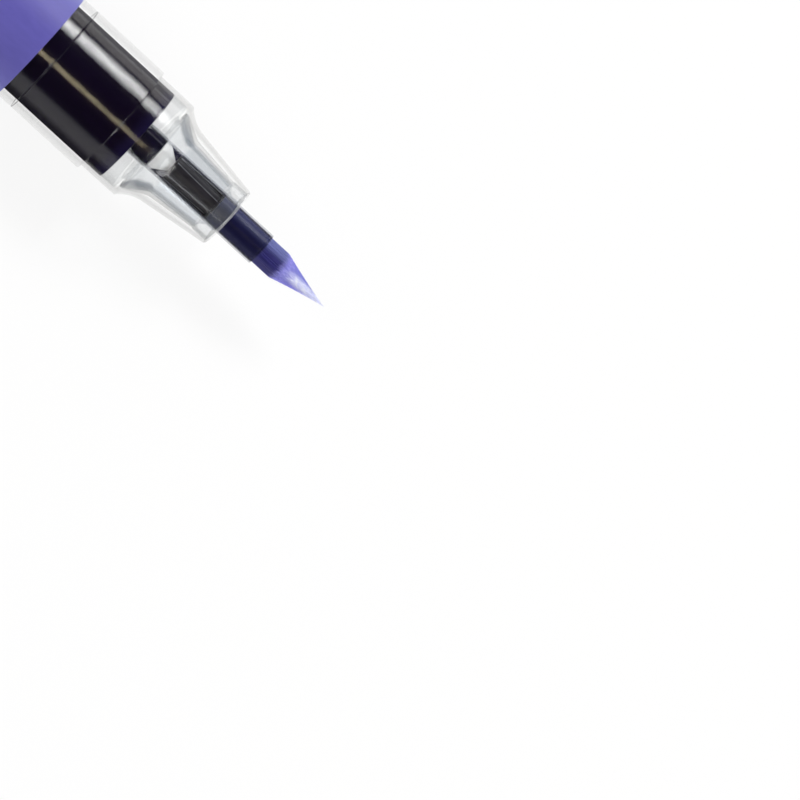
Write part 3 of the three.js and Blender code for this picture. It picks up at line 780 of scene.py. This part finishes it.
finished(turned("white_plug", [
    (0, PLUG_REAR),
    (CORE_R, PLUG_REAR, 0.08),
    (CORE_R, PLUG_SHOULDER, 0.35),
    (0.62, PLUG_FRONT - 0.08, 0.22),
    (0, PLUG_FRONT),
], sides=96, crease=50), WHITE, "nib", "flow_plug")

stem = turned("fluted_stem", [
    (0, STEM_REAR),
    (CORE_R, STEM_REAR, 0.08),
    (CORE_R, STEM_FRONT, 0.05),
    (0, STEM_FRONT),
], sides=96)

# Paint that has settled under the plug's cone. It is level, because the marker lies on its side.
puddle = turned("paint_under_plug", [
    (0, PUDDLE_REAR),
    (CORE_R, PUDDLE_REAR),
    (CORE_R, STEM_REAR),
    (0, STEM_REAR),
], sides=96)
carve(puddle, [block("level", (5.5, -2.2, PUDDLE_LEVEL), (8, 2.2, 2.2))])
finished(puddle, PAINT, "nib")


def along_flutes(name, low, high, flare, lean=FLUTE_LEAN):
    """The same block set in each of the stem's flutes, leaning in as they deepen forwards."""
    step = 360 / FLUTE_COUNT
    return [
        block(
            name, low, high, turn=math.radians(step * i + FLUTE_TURN), tilt=math.radians(lean),
            pivot=((STEM_REAR + STEM_FRONT) / 2, 0, CORE_R), flare=flare,
        )
        for i in range(FLUTE_COUNT)
    ]


carve(stem, along_flutes("flute", (FLUTE_REAR, -0.42, 1.44), (FLUTE_FRONT, 0.42, 2.6), 0.22))
finished(stem, STEM, "nib", "nib_holder")

# Painted glints: pale strips along each foot of a flute and along each of its upper edges, which stand
# in for the highlights on those edges.
GLINT_HALF = 0.028
ridges = []
for side in (-1, 1):
    for middle, low, high, lean in ((0.40, 1.36, 1.47, FLUTE_LEAN), (0.46, 1.56, 1.665, 0.64)):
        low_y, high_y = sorted((side * (middle - GLINT_HALF), side * (middle + GLINT_HALF)))
        start = (FLUTE_REAR + 0.05, low_y, low)
        ridges += along_flutes("flute_edge", start, (FLUTE_FRONT, high_y, high), 0.2, lean)
glint_strips = joined(ridges)
glint_strips.name = "stem_painted_glints"
finished(glint_strips, STEM_GLINT, "nib")

# Brush


def point_share(u):
    """How much of its full radius the brush still has at share u of its point."""
    return (1 - u) ** 0.504


def filament(number):
    """The rings of one filament, each with its middle point and its thickness in millimetres.

    Filaments are set out like the seeds of a sunflower. The outer ones end sooner, which makes the
    brush's point, and sines of the numbers keep neighbours from lining up.
    """
    place = math.sqrt((number + 0.5) / STRANDS) * 0.985
    wave = math.sin(number * 12.9898)
    end = min(1 - place ** (1 / 0.62) + 0.02 * abs(wave), 0.997)
    steps = 7
    stops = [(1.0, BUNDLE_FRONT - 0.3), (1.0, POINT_START - 1.2)]
    for k in range(steps + 1):
        u = end * k / steps
        stops.append((point_share(u), POINT_START + u * POINT_LENGTH))
    rings = []
    for k, (share, station) in enumerate(stops):
        blunt = 0.12 if k == len(stops) - 1 else 1
        stray = 0.010 * math.sin(3.1 * k + number * 7.7)
        radius = share * place * (CORE_R - STRAND_R)
        middle = at(station, radius, number * GOLDEN_ANGLE + stray * share)
        rings.append((middle, STRAND_R * (0.25 + 0.75 * share) * blunt))
    return rings


def brush():
    """The bundle in the sleeve, and free filaments that lean together into the brush's point."""
    bundle = turned("brush_filaments", [
        (0, TUFT_REAR),
        (CORE_R, TUFT_REAR, 0.05),
        (CORE_R, BUNDLE_FRONT, 0.25),
        (0, BUNDLE_FRONT + 0.1),
    ], sides=72)
    points, faces = [], []
    for number in range(STRANDS):
        rings = filament(number)
        base = len(points)
        for middle, thickness in rings:
            for side in range(STRAND_SIDES):
                turn = number * GOLDEN_ANGLE + 2 * math.pi * side / STRAND_SIDES
                points.append(middle + Vector((0, math.sin(turn), math.cos(turn))) * thickness * MM)
        last = base + (len(rings) - 1) * STRAND_SIDES
        for a in range(base, last, STRAND_SIDES):
            b = a + STRAND_SIDES
            for side in range(STRAND_SIDES):
                after = (side + 1) % STRAND_SIDES
                faces.append((a + side, a + after, b + after, b + side))
        faces.append(tuple(base + side for side in reversed(range(STRAND_SIDES))))
        faces.append(tuple(last + side for side in range(STRAND_SIDES)))
    mesh = bpy.data.meshes.new("free_filaments")
    mesh.from_pydata(points, [], faces)
    free = bpy.data.objects.new("free_filaments", mesh)
    bpy.context.collection.objects.link(free)
    core_stops = (0.12, 0.24, 0.36, 0.48, 0.6, 0.72, 0.84, 0.92)
    core = turned("brush_core", [
        (0, BUNDLE_FRONT - 0.2),
        (CORE_R * 0.9, BUNDLE_FRONT - 0.2),
        (CORE_R * 0.9, POINT_START),
        *[(CORE_R * 0.86 * (1 - u) ** 1.15, POINT_START + u * POINT_LENGTH) for u in core_stops],
        (0, POINT_START + POINT_LENGTH * 0.95),
    ], sides=64)
    joined([bundle, free, core])
    bpy.ops.object.mode_set(mode="EDIT")
    bpy.ops.mesh.select_all(action="SELECT")
    bpy.ops.mesh.normals_make_consistent(inside=False)
    bpy.ops.object.mode_set(mode="OBJECT")
    bpy.ops.object.shade_smooth_by_angle(angle=math.radians(50))
    return bundle


finished(brush(), BRISTLE, "nib", "brush_tuft")

# Tail

finished(turned("tail_closure", [
    (0, TAIL_END),
    (SPIGOT_R, TAIL_END, 0.6),
    (SPIGOT_R, TAIL_STOP, 0.08),
    (BARREL_R, TAIL_STOP, 0.12),
    (BARREL_R, BARREL_REAR - GAP, 0.08),
    (STACK_R, BARREL_REAR - GAP, 0.05),
    (STACK_R, GROOVE_REAR, 0.05),
    (GROOVE_R, GROOVE_REAR, 0.05),
    (GROOVE_R, GROOVE_FRONT, 0.05),
    (STACK_R, GROOVE_FRONT, 0.05),
    (STACK_R, TAIL_FRONT, 0.2),
    (TAIL_BORE_R, TAIL_FRONT, 0.2),
    (TAIL_BORE_R, TAIL_END + TAIL_WALL, 0.3),
    (0, TAIL_END + TAIL_WALL),
]), CAP, "barrel_body", "tail_plug")

ring_turns = [math.radians(degrees) for degrees in range(0, 360, 30)]
finished(turned("tail_ring", [
    (SEAL_R + SEAL_SECTION_R * math.cos(t), SEAL_STATION + SEAL_SECTION_R * math.sin(t))
    for t in ring_turns
], crease=60), RUBBER, "barrel_body", "tail_seal")

# Cap, posted on the tail


def drafted(radius, depth):
    """A radius of the cap at a depth behind its mouth, where the mould's taper has narrowed it."""
    return radius - CAP_DRAFT * depth / CAP_LENGTH


def clip():
    """The clip's side outline drawn out to its width: foot, neck, arm, and the bump that grips."""
    angle = math.pi + CLIP_TURN
    outline = rounded([
        (CLIP_ROOT_R, CLIP_ROOT, 0.0),
        (CLIP_HEEL_R, CLIP_ROOT, 2.2),
        (CLIP_HEEL_R, CLIP_FOOT, 0.5),
        (CLIP_OUT_R, CLIP_TIP - 1.4),
        (CLIP_OUT_R, CLIP_TIP, 1.3),
        (CLIP_IN_R, CLIP_TIP, 0.9),
        (CLIP_BUMP_R, CLIP_TIP - 1.9, 0.9),
        (CLIP_BUMP_R, CLIP_TIP - 2.9, 0.9),
        (CLIP_IN_R, CLIP_TIP - 5.4, 1.2),
        (CLIP_IN_R, CLIP_FOOT, 1.0),
        (CLIP_ROOT_R, CLIP_FOOT + 0.4, 0.0),
    ])
    across = Vector((0, math.cos(angle), -math.sin(angle))) * MM * CLIP_WIDTH
    thing = traced("clip", [at(s, r, angle) - across / 2 for r, s in outline], closed=True)
    bpy.ops.mesh.select_all(action="SELECT")
    bpy.ops.mesh.edge_face_add()
    bpy.ops.mesh.extrude_region_move(TRANSFORM_OT_translate={"value": across})
    close_up(thing, 30)
    modifier = thing.modifiers.new("edges", "BEVEL")
    modifier.width = 0.3 * MM
    modifier.segments = 3
    modifier.limit_method = "ANGLE"
    modifier.angle_limit = math.radians(50)
    bpy.ops.object.modifier_apply(modifier=modifier.name)
    return thing


shell = turned("cap_tube", [
    (0, CAP_END + 0.25),
    (3.6, CAP_END + 0.2, 0.8),
    (4.4, CAP_END, 0.3),
    (drafted(CAP_R, CAP_LENGTH), CAP_END, 1.5),
    (drafted(CAP_R, CAP_RIM + 0.3), CAP_MOUTH - CAP_RIM - 0.3, 0.10),
    (CAP_R, CAP_MOUTH - CAP_RIM, 0.15),
    (CAP_R, CAP_MOUTH, 0.35),
    (CAP_BORE_R, CAP_MOUTH, 0.3),
    (CAP_BORE_R, CAP_MOUTH - 9.5),
    (drafted(CAP_BORE_R, CAP_LENGTH - CAP_END_WALL), CAP_END + CAP_END_WALL, 0.4),
    (0, CAP_END + CAP_END_WALL),
], crease=24)
carve(shell, [clip()], "UNION")
bpy.ops.object.shade_smooth_by_angle(angle=math.radians(24))
finished(shell, CAP, "cap", "cap_shell")

cup_base_r = drafted(CAP_BORE_R, CAP_MOUTH - CUP_REAR) - 0.06
finished(turned("cap_cup", [
    (0, CUP_REAR),
    (cup_base_r, CUP_REAR, 0.3),
    (cup_base_r, CUP_FLOOR, 0.1),
    (CUP_OUT_R, CUP_FLOOR, 0.3),
    (CUP_OUT_R, CUP_FRONT, 0.15),
    (CUP_IN_R + 0.3, CUP_FRONT, 0.15),
    (CUP_IN_R, CUP_FRONT - 0.6, 0.2),
    (CUP_IN_R, CUP_FLOOR, 0.3),
    (0, CUP_FLOOR),
]), WHITE, "cap", "cap_liner")

# CAD nodes that stay, inside the paint

for node, material in {
    "valve_cage": DARK,
    "seat_gasket": RUBBER,
    "valve_plunger": WHITE,
    "valve_spring": STEEL,
    "mixing_ball": STEEL,
}.items():
    give_finish(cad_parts[node], material)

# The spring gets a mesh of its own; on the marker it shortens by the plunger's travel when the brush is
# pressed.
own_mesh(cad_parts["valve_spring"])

# Camera: the photograph's long lens, looking down across the marker, which lies tip to the lower right.

LOOK_DOWN = math.radians(70)
ROLL, LEAN = math.radians(42.572), math.radians(8.097)
ASIDE, BELOW, BACK = 30.341 * MM, 30.411 * MM, 543.105 * MM
along = Vector((1, 0, 0))
ahead = Vector((0, math.cos(LOOK_DOWN), -math.sin(LOOK_DOWN)))
above = Vector((0, math.sin(LOOK_DOWN), math.cos(LOOK_DOWN)))
forward = math.sin(LEAN) * along + math.cos(LEAN) * ahead
level = math.cos(LEAN) * along - math.sin(LEAN) * ahead
right = math.cos(ROLL) * level + math.sin(ROLL) * above
down = math.sin(ROLL) * level - math.cos(ROLL) * above
camera_data = bpy.data.cameras.new("camera")
camera_data.sensor_width = 36
camera_data.lens = 225
camera = bpy.data.objects.new("camera", camera_data)
bpy.context.collection.objects.link(camera)
spot = at(0) + ASIDE * right + BELOW * down - BACK * forward
camera.matrix_world = Matrix.Translation(spot) @ Matrix((right, -down, -forward)).transposed().to_4x4()
bpy.context.scene.camera = camera

# Floor, world and lamps


def studio_floor():
    """Pale floor that the camera sees as nearly white, with the marker's shadow.

    Mirrored rays see a painted shadow on it: a dark strip in front of the marker, where the shadow
    falls.
    """
    clear_selection()
    bpy.ops.mesh.primitive_plane_add(size=14, location=(0, 0, 0))
    floor = bpy.context.object
    floor.name = "floor"
    f = Finish("floor")
    seen = f.node("LightPath", out="Is Camera Ray")
    mirrored = f.node("LightPath", out="Is Glossy Ray")
    through = f.node("LightPath", out="Is Transmission Ray")
    white = f.node("Emission", values={"Color": (1.0, 1.0, 1.0), "Strength": 1.0})
    paper = f.node("BsdfDiffuse", values={"Color": (0.90, 0.90, 0.90)})
    dark = f.node("BsdfDiffuse", values={"Color": (0.04, 0.04, 0.04)})
    plain = f.mix((seen + mirrored + through).at_most(1.0) * 0.87, paper, white)
    before = f.node("SeparateXYZ", values={0: f.node("TexCoord", out="Object")}, out="Y") * -1.0
    # Painted shadow: rays mirrored off the marker see the floor dark in a strip in front of it.
    shade = mirrored * before.ramp(0.009, 0.0125) * before.ramp(0.014, 0.040, 1.0, 0.0)
    floor.data.materials.append(f.done(f.mix(shade, plain, dark)))


def studio_world():
    """A pale horizon under a dim sky."""
    world = bpy.data.worlds.new("studio")
    bpy.context.scene.world = world
    world.use_nodes = True
    f = Finish("studio", world.node_tree)
    height = f.node("SeparateXYZ", values={0: f.node("TexCoord", out="Generated")}, out="Z")
    glow = height.ramp(0.08, 0.27, 1.0, 0.05)
    light = f.node("Background", values={"Color": (1.0, 1.0, 1.0), "Strength": glow})
    f.node("OutputWorld", values={"Surface": light})


def lamp_at(name, towards, side, distance, length, across, radiance, colour=(1, 1, 1), shift=0.0):
    """A rectangular lamp in a direction from the step, moved by shift along the axis."""
    data = bpy.data.lights.new(name, "AREA")
    data.shape = "RECTANGLE"
    data.size = length
    data.size_y = across
    data.energy = radiance * math.pi * length * across
    data.color = colour
    lamp = bpy.data.objects.new(name, data)
    bpy.context.collection.objects.link(lamp)
    up = towards.cross(side).normalized()
    axes = Matrix((side, up, towards)).transposed().to_4x4()
    lamp.matrix_world = Matrix.Translation(at(shift) + towards * distance) @ axes
    lamp.visible_camera = False


def softbox(name, elevation, width, length, radiance, colour=(1, 1, 1), shift=0.0):
    """A lamp square to the axis.

    elevation is counted from the -Y horizon over the top. It and width are in degrees.
    """
    distance = 1.25
    e = math.radians(elevation)
    towards = Vector((0, -math.cos(e), math.sin(e)))
    across = 2 * distance * math.tan(math.radians(width / 2))
    lamp_at(name, towards, along, distance, length, across, radiance, colour, shift)


studio_floor()
studio_world()
# The key fades towards its sides, as a diffused lamp does: three sizes of one lamp.
for width, radiance in ((11, 18.0), (19, 10.0), (28, 5.0)):
    softbox("key", 132.5, width, length=0.32, radiance=radiance, shift=-67)
softbox("fill", 163, 22, length=0.90, radiance=1.7, colour=(1.0, 0.98, 0.96), shift=20)
softbox("warm_strip", 63.1, 9, length=0.158, radiance=6.0, colour=(1.0, 0.84, 0.56), shift=12)
for side, radiance in ((-1, 1.4), (1, 4.9)):
    slope = Vector((side * 0.66, -0.45, 0.60)).normalized()
    lamp_at("end_softbox", slope, Vector((0, 1, 0)), 1.4, length=0.9, across=0.9, radiance=radiance)

scene = bpy.context.scene
scene.view_settings.view_transform = "Standard"
scene.cycles.transparent_max_bounces = 32
